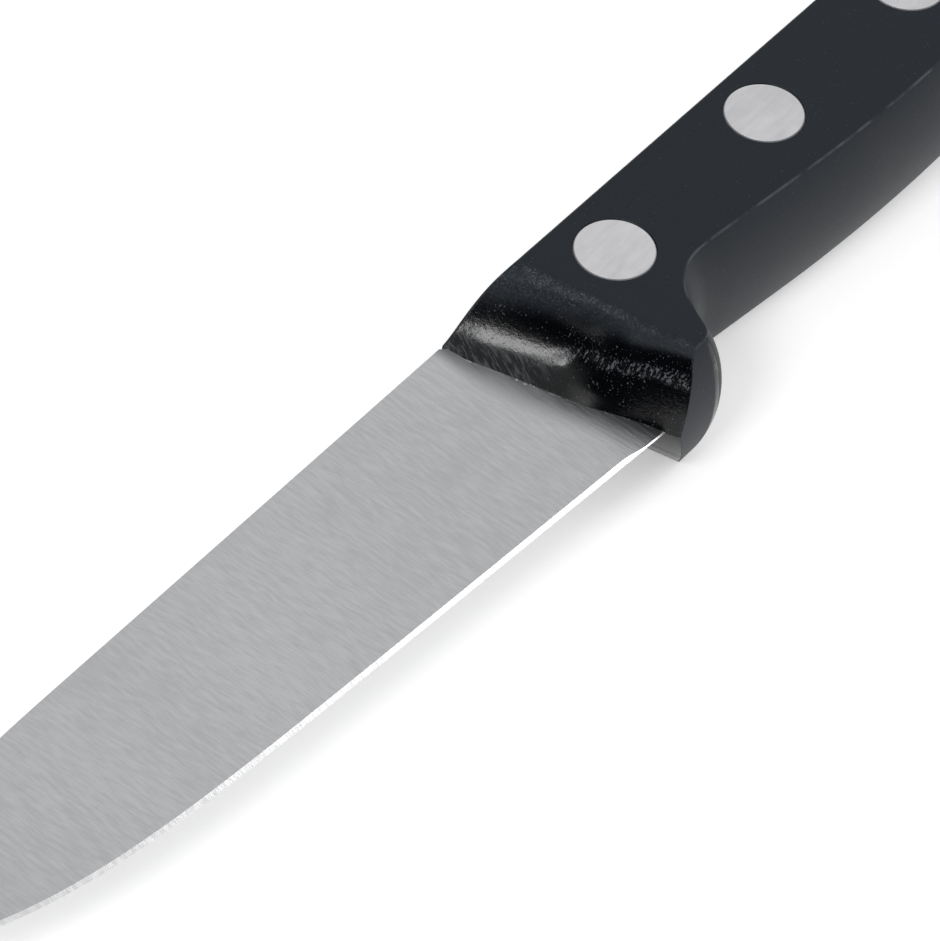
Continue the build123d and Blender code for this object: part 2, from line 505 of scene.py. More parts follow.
    def slope_border(self, t: np.ndarray, base: float, inwards: float) -> np.ndarray:
        """Height at which the slope meets the rim, found by halving.

        Args:
            t: Places down the slope.
            base: Height of the outline there, the spine or the guard's underside.
            inwards: Sign of the way into the handle.

        Returns:
            The height y of the border at each place.
        """
        low, high = np.zeros_like(t), np.full_like(t, self.crown + self.border_margin)
        for _ in range(self.border_halvings):
            mid = (low + high) / 2
            z = self.slope(t, base + inwards * mid)[1]
            short = mid < self.inset(np.clip(z, 0.0, self.half_thickness))
            low, high = np.where(short, mid, low), np.where(short, high, mid)
        return base + inwards * (low + high) / 2


@dataclass
class RivetPattern:
    """Three flush heads in a line. Sizes in millimetres and degrees."""

    spacing: float = 24.5
    line_rise: float = 0.9
    head_radius: float = 4.0
    head_thickness: float = 1.8
    seat_gap: float = 0.07
    seat_break: float = 0.05
    count: int = 3

    def places(self) -> np.ndarray:
        """Centres of the heads: the first at the origin, the others along the line.

        Returns:
            One row of two coordinates per head.
        """
        turn = math.radians(self.line_rise)
        steps = np.arange(self.count)[:, None] * self.spacing
        return steps * np.array([math.cos(turn), math.sin(turn)])


@dataclass
class Scales:
    """The two moulded scales of the handle. Sizes in millimetres, reaches as heights y."""

    shape: HandleShape
    rivets: RivetPattern
    bench: Bench
    slope_rows: int = 44
    slope_columns: int = 72
    seat_steps: int = 96
    weld_reach: float = 0.002
    fill_tolerance: float = 0.000001
    sharp_angle: float = math.radians(28.0)
    edge_break: float = 0.2
    edge_steps: int = 3
    seam_break: float = 0.03
    flash_start: float = 0.1
    seat_margin: float = 0.28
    touch: float = 0.02
    foot_depths: Pair = (5.4, 6.6)
    foot_reach: Pair = (-3.5, 1.5)
    fray_depth: float = 2.85
    fray_climb: float = 0.0145
    fray_width: float = 0.85
    fray_core: float = 0.1
    fray_reach: Pair = (-4.5, 2.0)
    sheen_reach: Pair = (-9.0, 4.0)
    dull_depths: Pair = (6.2, 7.0)
    dull_rise: Pair = (-9.0, -5.8)
    dull_fall: Pair = (-5.0, -3.4)

    def _down_slope(self) -> np.ndarray:
        """Places of the slope's rows, from 0 on the flat side to 1 at the blade."""
        return np.linspace(0.0, 1.0, self.slope_rows + 1)

    def _rim_columns(
        self, x: np.ndarray, top: np.ndarray, base: float, inwards: float
    ) -> np.ndarray:
        """The rim under the slope's border, as columns that are each squeezed to their own top.

        Args:
            x: Place of each column.
            top: Height z of the border over each column.
            base: Height y of the outline there.
            inwards: Sign of the way into the handle.

        Returns:
            Grid of points, one row per column of the rim.
        """
        z = top[:, None] * (self.shape.levels() / self.shape.half_thickness)
        y = base + inwards * self.shape.inset(z)
        return np.stack([np.broadcast_to(x[:, None], z.shape), y, z], axis=-1)

    def _patches(self) -> Sheaf:
        """All patches of the near scale: rim, slope, foot, middle plane, flat side and seats.

        Returns:
            The patches, ready to be welded.
        """
        shape, sheaf = self.shape, Sheaf()
        points, inward = shape.rim().arrays()
        level = shape.levels()
        flat = points[:, None, :] + shape.inset(level)[None, :, None] * inward[:, None, :]
        height = np.broadcast_to(level, flat.shape[:2])
        rim = np.concatenate([flat, height[..., None]], axis=-1)
        sheaf.add_grid(rim)
        t = self._down_slope()
        low = shape.slope_border(t, -shape.guard_drop, 1.0)
        high = shape.slope_border(t, shape.spine_height, -1.0)
        across = np.linspace(0.0, 1.0, self.slope_columns + 1)
        y = low[:, None] + (high - low)[:, None] * across
        x, z = shape.slope(np.broadcast_to(t[:, None], y.shape), y)
        x[0, 0], x[0, -1] = points[0, 0], points[-1, 0]
        slope = np.stack([x, y, z], axis=-1)
        slope[0, 0], slope[0, -1] = rim[0, -1], rim[-1, -1]
        sheaf.add_grid(slope)
        guard_side = self._rim_columns(x[:, 0], z[:, 0], -shape.guard_drop, 1.0)
        spine_side = self._rim_columns(x[:, -1], z[:, -1], shape.spine_height, -1.0)
        guard_side[:, -1], spine_side[:, -1] = slope[:, 0], slope[:, -1]
        sheaf.add_grid(guard_side)
        sheaf.add_grid(spine_side)
        share = np.column_stack([np.ones((len(level), 2)), level / shape.half_thickness])
        foot = slope[-1] * share[:, None, :]
        foot[:, 0], foot[:, -1] = guard_side[-1], spine_side[-1]
        sheaf.add_grid(foot)
        seam = [rim[:, 0], spine_side[1:, 0], foot[0, -2::-1], guard_side[-2:0:-1, 0]]
        sheaf.add(*self._fill(np.concatenate(seam), []))
        top = np.concatenate([rim[:, -1], slope[0, -2:0:-1]])
        seats = self._seats(sheaf)
        sheaf.add(*self._fill(top, seats))
        return sheaf

    def _seats(self, sheaf: Sheaf) -> list[np.ndarray]:
        """Adds the rivets' seats: a broken edge, a round wall and a level floor each.

        Args:
            sheaf: Patches that the seats join.

        Returns:
            The loop of points round each seat on the flat side.
        """
        turn = np.linspace(0.0, 2 * np.pi, self.seat_steps, endpoint=False)
        circle = np.stack([np.cos(turn), np.sin(turn)], axis=-1)
        radius = self.rivets.head_radius + self.rivets.seat_gap
        rings = [
            (radius + self.rivets.seat_break, 0.0),
            (radius, self.rivets.seat_break),
            (radius, self.rivets.head_thickness),
        ]
        loops = []
        for place in self.rivets.places():
            rows = []
            for size, depth in rings:
                height = np.full(len(circle), self.shape.half_thickness - depth)
                rows.append(np.column_stack([place + size * circle, height]))
            sheaf.add_grid(np.stack(rows), closed=True)
            sheaf.add_cap(rows[-1])
            loops.append(rows[0])
        return loops

    def _fill(self, loop: np.ndarray, holes: list[np.ndarray]) -> tuple[np.ndarray, np.ndarray]:
        """Triangles over a level area with round holes in it.

        Args:
            loop: Points round the area.
            holes: Points round each hole.

        Returns:
            The points and the triangles between them.
        """
        rings = [loop, *holes]
        points = np.concatenate(rings)[:, :2]
        edges, first = [], 0
        for ring in rings:
            numbers = first + np.arange(len(ring))
            edges.extend(zip(numbers.tolist(), np.roll(numbers, -1).tolist()))
            first += len(ring)
        inside_only = 1
        vertices, _, triangles, *_ = delaunay_2d_cdt(
            points.tolist(), edges, [], inside_only, self.fill_tolerance
        )
        spots, corners = np.array(vertices), np.array(triangles)
        keep = np.ones(len(corners), bool)
        for hole in holes:
            centre = hole[:, :2].mean(axis=0)
            size = np.linalg.norm(hole[0, :2] - centre)
            reach = np.linalg.norm(spots[corners] - centre, axis=2).max(axis=1)
            keep &= reach > size + self.touch
        level = np.full(len(spots), loop[0, 2])
        return np.column_stack([spots, level]), corners[keep]

    def _edge_weights(self, piece: bpy.types.Object) -> None:
        """Marks the sharp edges that are rounded, and by how much.

        The edges round the rivets' seats stay sharp, and so does the seam between the scales, but
        for the flash line at the guard's front.

        Args:
            piece: The scale.
        """
        work = bmesh.new()
        work.from_mesh(piece.data)
        layer = work.edges.layers.float.new("bevel_weight_edge")
        origin = Vector(self.bench.origin)
        seats = [Vector((*place, 0.0)) * MM for place in self.rivets.places()]
        reach = (self.rivets.head_radius + self.seat_margin) * MM
        heel = (self.shape.spine_height - self.shape.blade_height) * MM
        front = -self.shape.crease_at_guard * MM
        low, seam = (self.flash_start - self.shape.guard_drop) * MM, self.seam_break * MM
        for edge in work.edges:
            if len(edge.link_faces) != 2 or edge.calc_face_angle() < self.sharp_angle:
                continue
            spots = [vertex.co - origin for vertex in edge.verts]
            outside = max(abs(spot.z) for spot in spots) > seam
            if outside and all((spots[0] - seat).xy.length >= reach for seat in seats):
                edge[layer] = 1.0
            elif not outside and max(spot.x for spot in spots) < front and low < spots[0].y < heel:
                edge[layer] = self.seam_break / self.edge_break
            else:
                edge.smooth = False
        work.to_mesh(piece.data)
        work.free()

    def _mark_slope(self, mesh: bpy.types.Mesh) -> None:
        """Stores numbers at each point of the front slope, which are 0 on the rest of the scale.

        crease_turn is the depth below the flat side over the width of the soft turn there.
        slope_foot is the foot, which fades towards the guard; it bears scratches in relief and a
        painted reflection of the blade's ground lines. slope_frayed is the strip in which the
        slope's highlight
        breaks up into painted highlight ticks: a smooth hill round a line that is shallow at the
        guard and deeper with the square of the height over it. crease_spine grows towards the
        spine, as the painted sheen at the crease does. slope_dull is a dull patch low beside the
        blade.
        border_highlight is the slope's border along the guard's rim, where a highlight line is
        painted.

        Args:
            mesh: The scale's mesh.
        """
        shape = self.shape
        x, y, z = self.bench.points_of(mesh).T
        height = np.abs(z)
        depth = shape.half_thickness - height
        inside = (y > -shape.guard_drop + self.touch) & (y < shape.spine_height)
        rim = np.minimum(shape.spine_height - y, y + shape.guard_drop)
        on_rim = rim < shape.inset(np.clip(height, 0.0, shape.half_thickness)) + self.touch
        on_slope = inside & ~on_rim & (x < shape.crease_x(y) + shape.soft_at_spine)
        line = self.fray_depth + self.fray_climb * (y + shape.guard_drop) ** 2
        hill = 1.0 - smooth_step(self.fray_core, 1.0, np.abs(depth - line) / self.fray_width)
        patch = smooth_step(*self.dull_rise, y) * (1.0 - smooth_step(*self.dull_fall, y))
        t = self._down_slope()
        low = shape.slope_border(t, -shape.guard_drop, 1.0)
        border_x, border_z = shape.slope(t, low)
        away = np.hypot(x[:, None] - border_x, height[:, None] - border_z).min(axis=1)
        guard_border = (away < self.touch) & (y < low.max() + self.touch)
        marks = {
            "crease_turn": depth / shape.softness(y),
            "slope_foot": smooth_step(*self.foot_depths, depth) * smooth_step(*self.foot_reach, y),
            "slope_frayed": hill * (1.0 - smooth_step(*self.fray_reach, y)),
            "crease_spine": smooth_step(*self.sheen_reach, y),
            "slope_dull": smooth_step(*self.dull_depths, depth) * patch,
        }
        for name, values in marks.items():
            store(mesh, name, np.where(on_slope, values, 0.0))
        store(mesh, "border_highlight", guard_border)

    def build(self, side: Side) -> bpy.types.Object:
        """Makes one scale.

        Args:
            side: Which scale.

        Returns:
            The scale's object.
        """
        sheaf = self._patches()
        sheaf.points = [part * np.array([1.0, 1.0, side.value]) for part in sheaf.points]
        piece = sheaf.weld(f"{side.name.lower()}_scale_shell", self.bench, self.weld_reach)
        self._edge_weights(piece)
        self._mark_slope(piece.data)
        bevel = piece.modifiers.new("edge_rounding", "BEVEL")
        bevel.limit_method = "WEIGHT"
        bevel.width = self.edge_break * MM
        bevel.segments = self.edge_steps
        bevel.use_clamp_overlap = True
        normals = piece.modifiers.new("flat_faces_first", "WEIGHTED_NORMAL")
        normals.keep_sharp = True
        return piece


@dataclass
class BladeShape:
    """Full flat ground blade and its hidden tang. Sizes in millimetres and degrees."""

    handle: HandleShape
    rivets: RivetPattern
    bench: Bench
    length: float = 100.0
    edge_taper: float = 5.5
    tip_drop: float = 3.2
    spine_thickness: float = 2.0
    tip_thickness: float = 0.6
    shoulder_thickness: float = 0.36
    bevel_width: float = 0.5
    heel_bevel_share: float = 0.35
    heel_bevel_reach: Pair = (2.5, 5.5)
    straight_spine_share: float = 0.64
    edge_sweep_power: float = 8.0
    tip_end_share: float = 0.997
    tip_bevel_share: float = 0.4
    spine_rounding: float = 0.1
    spine_rounding_share: float = 0.6
    root_depth: float = 2.4
    root_drop: float = 1.0
    root_step: float = 1.8
    tang_height: float = 10.0
    tang_end_height: float = 7.0
    tang_past_rivet: float = 8.5
    # Widths of the painted reflection of the handle on the blade, at the heel and at the spine, and
    # the height from which it changes between them.
    reflection_at_heel: float = 4.1
    reflection_at_spine: float = 2.0
    reflection_evens_at: float = -1.5
    weld_reach: float = 0.004
    sharp_angle: float = math.radians(12.0)
    blade_sections: int = 160
    tang_sections: int = 24
    face_rows: int = 18
    rounding_rows: int = 4

    def spine_y(self, share: np.ndarray) -> np.ndarray:
        """Spine: level, then a parabola down to the tip."""
        past = (share - self.straight_spine_share) / (1 - self.straight_spine_share)
        return self.handle.spine_height - self.tip_drop * np.clip(past, 0.0, 1.0) ** 2

    def edge_y(self, share: np.ndarray) -> np.ndarray:
        """Cutting edge: a straight taper plus a high power of the share that sweeps to the tip.

        Args:
            share: 0 at the heel to 1 at the tip.

        Returns:
            The edge's height at each share.
        """
        sweep = self.handle.blade_height - self.edge_taper - self.tip_drop
        heel = self.handle.spine_height - self.handle.blade_height
        rise = sweep * np.clip(share, 0.0, 1.0) ** self.edge_sweep_power
        return heel + self.edge_taper * share + rise

    def stations(self) -> np.ndarray:
        """Places of the sections through the tang and on to the tip, where they lie closer.

        Returns:
            The stations' x, from the tang's end to the tip.
        """
        root = -self.handle.front_at_heel + self.root_depth
        tip = -self.handle.front_at_heel - self.tip_end_share * self.length
        turn = np.linspace(0.0, np.pi / 2, self.blade_sections)
        end = self.rivets.places()[-1, 0] + self.tang_past_rivet
        tang = np.linspace(end, root + self.root_step, self.tang_sections)
        return np.concatenate([tang, root + (tip - root) * np.sin(turn)])

    def section(self, x: np.ndarray) -> tuple[np.ndarray, np.ndarray]:
        """Half sections from the cutting edge up to the middle of the spine.

        On the blade the half thickness runs straight from the spine to the shoulder and from there
        to nothing at the edge. The bevel narrows beside the handle, where a whetstone hardly
        reaches. Inside the handle the spine steps down, and behind the root the section is the
        tang's rectangle.

        Args:
            x: Stations along the knife.

        Returns:
            Heights and half thicknesses, one row per station and one column per point.
        """
        heel = -self.handle.front_at_heel
        share = (heel - x) / self.length
        taper = np.clip(share, 0.0, 1.0)
        hidden = x > -self.handle.front_at_spine
        top = self.spine_y(share) - np.where(hidden, self.root_drop, 0.0)
        bottom = self.edge_y(share)
        thinning = self.tip_thickness - self.spine_thickness
        spine_half = (self.spine_thickness + thinning * taper) / 2
        full = smooth_step(*self.heel_bevel_reach, heel - x)
        whetted = self.heel_bevel_share + (1.0 - self.heel_bevel_share) * full
        bevel = whetted * np.minimum(self.bevel_width, self.tip_bevel_share * (top - bottom))
        shoulder_half = whetted * self.shoulder_thickness / 2
        tang = x > heel + self.root_depth + self.root_step / 2
        rise = math.tan(math.radians(self.rivets.line_rise)) * x
        along = np.clip(x / x.max(), 0.0, 1.0)
        half_height = (self.tang_height + (self.tang_end_height - self.tang_height) * along) / 2
        top = np.where(tang, rise + half_height, top)
        bottom = np.where(tang, rise - half_height, bottom)
        bevel = np.where(tang, 0.0, bevel)
        shoulder_half = np.where(tang, self.spine_thickness / 2, shoulder_half)
        round_off = np.minimum(self.spine_rounding, spine_half * self.spine_rounding_share)
        v = np.linspace(0.0, 1.0, self.face_rows + 1)
        face_top = top - round_off
        start = bottom + bevel
        y = start[:, None] + (face_top - start)[:, None] * v
        half = shoulder_half[:, None] + (spine_half - shoulder_half)[:, None] * v
        turn = np.linspace(0.0, np.pi / 2, self.rounding_rows + 1)[1:]
        corner_y = face_top[:, None] + round_off[:, None] * np.sin(turn)
        corner_half = spine_half[:, None] - round_off[:, None] * (1 - np.cos(turn))
        y = np.concatenate([bottom[:, None], y, corner_y], axis=1)
        half = np.concatenate([np.zeros_like(bottom)[:, None], half, corner_half], axis=1)
        return y, half

    def _mark_junction(self, mesh: bpy.types.Mesh) -> None:
        """Stores how far each point lies ahead of the scales' end, over the painted reflection's
        width there.

        Args:
            mesh: The blade's mesh.
        """
        x, y, _ = self.bench.points_of(mesh).T
        up = smooth_step(self.reflection_evens_at, self.handle.spine_height, y)
        width = self.reflection_at_heel + (self.reflection_at_spine - self.reflection_at_heel) * up
        store(mesh, "junction_gap", (self.handle.front_x(y) - x) / width)

    def build(self) -> bpy.types.Object:
        """Makes the blade with its tang as one piece, with the bevels as its second finish.

        Returns:
            The blade's object.
        """
        x = self.stations()
        y, half = self.section(x)
        station = np.broadcast_to(x[:, None], y.shape)
        near = np.stack([station, y, half], axis=-1)
        far = np.stack([station, y, -half], axis=-1)
        sheaf = Sheaf()
        for side in (near, far):
            sheaf.add_grid(side[:, :2], finish=1)
            sheaf.add_grid(side[:, 1:])
        sheaf.add_grid(np.stack([near[:, -1], far[:, -1]], axis=1))
        for end in (0, -1):
            sheaf.add_cap(np.concatenate([near[end], far[end, :0:-1]]))
        piece = sheaf.weld("blade_and_tang", self.bench, self.weld_reach)
        piece.data.set_sharp_from_angle(angle=self.sharp_angle)
        self._mark_junction(piece.data)
        return piece


class Signal:
    """An output of a node that takes part in Python's arithmetic, each step a Math node."""

    def __init__(self, plan: "NodePlan", socket: bpy.types.NodeSocket) -> None:
        """Keeps the socket and the plan that it belongs to."""
        self.plan = plan
        self.socket = socket

    def _combine(self, operation: str, first: object, second: object = 0.0) -> "Signal":
        """Adds one Math node.

        Args:
            operation: The node's operation.
            first: Left side, a signal or a number.
            second: Right side, a signal or a number.

        Returns:
            The result as a signal.
        """
        sides = {0: first, 1: second}
        return self.plan.signal("ShaderNodeMath", sides, settings={"operation": operation})

    def __add__(self, other: object) -> "Signal":
        """Self plus other."""
        return self._combine("ADD", self, other)

    def __radd__(self, other: object) -> "Signal":
        """Other plus self."""
        return self._combine("ADD", other, self)

    def __sub__(self, other: object) -> "Signal":
        """Self less other."""
        return self._combine("SUBTRACT", self, other)

    def __rsub__(self, other: object) -> "Signal":
        """Other less self."""
        return self._combine("SUBTRACT", other, self)

    def __mul__(self, other: object) -> "Signal":
        """Self times other."""
        return self._combine("MULTIPLY", self, other)

    def __rmul__(self, other: object) -> "Signal":
        """Other times self."""
        return self._combine("MULTIPLY", other, self)

    def __abs__(self) -> "Signal":
        """Self without its sign."""
        return self._combine("ABSOLUTE", self)

    def step(self, low: float, high: float) -> "Signal":
        """Smooth rise from 0 at low to 1 at high."""
        ends = {"Value": self, "From Min": low, "From Max": high}
        return self.plan.signal(
            "ShaderNodeMapRange", ends, "Result", {"interpolation_type": "SMOOTHSTEP"}
        )


class NodePlan:
    """The nodes of one material or world, added and linked through one method."""

    def __init__(self, tree: bpy.types.NodeTree) -> None:
        """Empties the tree."""
        self.tree = tree
        tree.nodes.clear()

    @classmethod
    def for_skin(cls, name: str) -> tuple[bpy.types.Material, "NodePlan"]:
        """Makes a material.

        Args:
            name: The material's name.

        Returns:
            The material and its empty plan.
        """
        skin = bpy.data.materials.new(name)
        skin.use_nodes = True
        return skin, cls(skin.node_tree)

    def add(
        self, kind: str, inputs: dict | None = None, settings: dict | None = None
    ) -> bpy.types.Node:
        """Adds a node, sets its settings, and gives its sockets values or links.

        Args:
            kind: The node's type.
            inputs: Socket names or numbers with numbers, colours, signals or sockets.
            settings: Attributes to set first.

        Returns:
            The new node.
        """
        node = self.tree.nodes.new(kind)
        for name, value in (settings or {}).items():
            setattr(node, name, value)
        for name, value in (inputs or {}).items():
            source = value.socket if isinstance(value, Signal) else value
            if isinstance(source, bpy.types.NodeSocket):
                self.tree.links.new(source, node.inputs[name])
            else:
                node.inputs[name].default_value = source
        return node

    def signal(
        self, kind: str, inputs: dict, output: str | int = 0, settings: dict | None = None
    ) -> Signal:
        """Adds a node and returns one of its outputs as a signal."""
        return Signal(self, self.add(kind, inputs, settings).outputs[output])

    def vector(
        self, operation: str, first: Signal, second: Signal | Triple, output: str | int = 0
    ) -> Signal:
        """Adds one Vector Math node and returns one of its outputs as a signal."""
        sides = {0: first, 1: second}
        return self.signal("ShaderNodeVectorMath", sides, output, {"operation": operation})

    def stretched(self, scale: Triple, way: Triple = (1.0, 0.0, 0.0)) -> Signal:
        """The piece's own coordinates, in metres, turned and then scaled.

        Args:
            scale: Factor along each axis after the turn.
            way: Direction on the piece that becomes the first axis.

        Returns:
            The scaled coordinates.
        """
        place = self.add("ShaderNodeTexCoord").outputs["Object"]
        turn = Vector(way).rotation_difference(Vector((1.0, 0.0, 0.0))).to_euler()
        turned = self.signal("ShaderNodeMapping", {"Vector": place, "Rotation": turn})
        return self.signal("ShaderNodeMapping", {"Vector": turned, "Scale": scale})

    def stored(self, name: str) -> Signal:
        """A number stored at the mesh's points."""
        return self.signal("ShaderNodeAttribute", {}, "Fac", {"attribute_name": name})

    def noise(
        self, vector: Signal, scale: float = 1.0, detail: float = 3.0, roughness: float = 0.5
    ) -> Signal:
        """Fractal noise round one half."""
        inputs = {"Vector": vector, "Scale": scale, "Detail": detail, "Roughness": roughness}
        return self.signal("ShaderNodeTexNoise", inputs, "Fac")

    def tint(self, factor: Signal, dark: Triple | Signal, light: Triple | Signal) -> Signal:
        """A colour between two, from a Mix node in its colour mode.

        There the factor is socket 0, the colours are sockets 6 and 7, and the result is output 2.

        Args:
            factor: 0 for the first colour to 1 for the second.
            dark: First colour.
            light: Second colour.

        Returns:
            The colour.
        """
        ends = [end if isinstance(end, Signal) else (*end, 1.0) for end in (dark, light)]
        inputs = {0: factor, 6: ends[0], 7: ends[1]}
        return self.signal("ShaderNodeMix", inputs, 2, {"data_type": "RGBA"})

    def bump(self, height: Signal, strength: float, depth: float) -> Signal:
        """Relief from a height, where 1 stands depth metres proud at full strength."""
        inputs = {"Strength": strength, "Distance": depth, "Height": height}
        return self.signal("ShaderNodeBump", inputs)

    def finish(self, inputs: dict) -> None:
        """Ends a material in a Principled shader with these inputs."""
        shader = self.add("ShaderNodeBsdfPrincipled", inputs)
        self.add("ShaderNodeOutputMaterial", {"Surface": shader.outputs[0]})


@dataclass(frozen=True)
class GroundSteel:
    """Satin stainless steel, ground across the blade, smoother beside the handle, whose reflection
    is painted there.
    """

    dark: Triple = (0.54, 0.545, 0.56)
    light: Triple = (0.64, 0.645, 0.66)
    handle_reflection: Triple = (0.14, 0.143, 0.15)
    painted_glint: Triple = (0.7, 0.71, 0.72)
    roughness: float = 0.26
    smooth_roughness: float = 0.18
    relief: Pair = (0.5, 0.00003)
    stroke_scale: Triple = (2600.0, 360.0, 360.0)
    fine_scale: Triple = (7000.0, 700.0, 700.0)
    wander_scale: Triple = (160.0, 260.0, 260.0)
    cloud_scale: Triple = (60.0, 60.0, 60.0)
    patch_scale: Triple = (300.0, 120.0, 120.0)
    glint_scale: Triple = (3000.0, 2400.0, 2400.0)
    wander: float = 2.0
    reflection_reach: Pair = (0.03, 1.0)
    glint_reach: Pair = (0.02, 0.07)

    def material(self) -> bpy.types.Material:
        """Short wavy strokes from spine to edge, a painted reflection of the handle beside it, and
        painted glints in that.

        Returns:
            The material.
        """
        skin, plan = NodePlan.for_skin("blade_steel_ground")
        slow = plan.noise(plan.stretched(self.wander_scale), detail=2.0)
        shift = plan.signal("ShaderNodeCombineXYZ", {"X": (slow - 0.5) * self.wander})

        def strokes(scale: Triple, detail: float) -> Signal:
            """Noise stretched along the strokes, and bent a little by the slow wander.

            Args:
                scale: Factor along each axis.
                detail: The noise's detail.

            Returns:
                The strokes, round one half.
            """
            bent = plan.vector("ADD", plan.stretched(scale), shift)
            return plan.noise(bent, detail=detail, roughness=0.6)

        broad, fine = strokes(self.stroke_scale, 3.0), strokes(self.fine_scale, 2.0)
        cloud = plan.noise(plan.stretched(self.cloud_scale), detail=2.0)
        patch = plan.noise(plan.stretched(self.patch_scale), detail=2.0)
        glint = plan.noise(plan.stretched(self.glint_scale), detail=2.0).step(0.56, 0.64)
        gap = plan.stored("junction_gap")
        # Painted reflection of the handle: a dark band beside it, where the steel is also smoother.
        near = 1.0 - gap.step(*self.reflection_reach)
        painted_reflection = near * (0.85 + (patch - 0.5) * 0.3 + (broad - 0.5) * 0.6)
        # Painted glints: pale flecks close beside the handle.
        painted_glint = glint * (1.0 - gap.step(*self.glint_reach)) * patch.step(0.4, 0.6)
        height = broad * (0.45 + patch * 0.6) + fine * 0.2
        tone = (broad * 0.55 + fine * 0.25 + cloud * 0.2).step(0.35, 0.65)
        ground = plan.tint(tone, self.dark, self.light)
        roughness = self.roughness + (fine - 0.5) * 0.12 + (cloud - 0.5) * 0.06
        plan.finish(
            {
                "Base Color": plan.tint(painted_glint, plan.tint(painted_reflection, ground, self.handle_reflection), self.painted_glint),
                "Metallic": 1.0,
                "Roughness": roughness - near * (self.roughness - self.smooth_roughness),
                "Normal": plan.bump(height, *self.relief),
            }
        )
        return skin


@dataclass(frozen=True)
class WhettedSteel:
    """The cutting bevel, whetted bright with fine scratches."""

    dark: Triple = (0.84, 0.84, 0.85)
    light: Triple = (0.95, 0.95, 0.95)
    roughness: float = 0.26
    relief: Pair = (0.5, 0.00003)
    streak_scale: Triple = (2600.0, 700.0, 700.0)

    def material(self) -> bpy.types.Material:
        """Bright metal whose short scratches glint.

        Returns:
            The material.
        """
        skin, plan = NodePlan.for_skin("blade_steel_whetted")
        streaks = plan.noise(plan.stretched(self.streak_scale), detail=4.0, roughness=0.7)
        plan.finish(
            {
                "Base Color": plan.tint(streaks.step(0.4, 0.6), self.dark, self.light),
                "Metallic": 1.0,
                "Roughness": self.roughness + (streaks - 0.5) * 0.3,
                "Normal": plan.bump(streaks, *self.relief),
            }
        )
        return skin


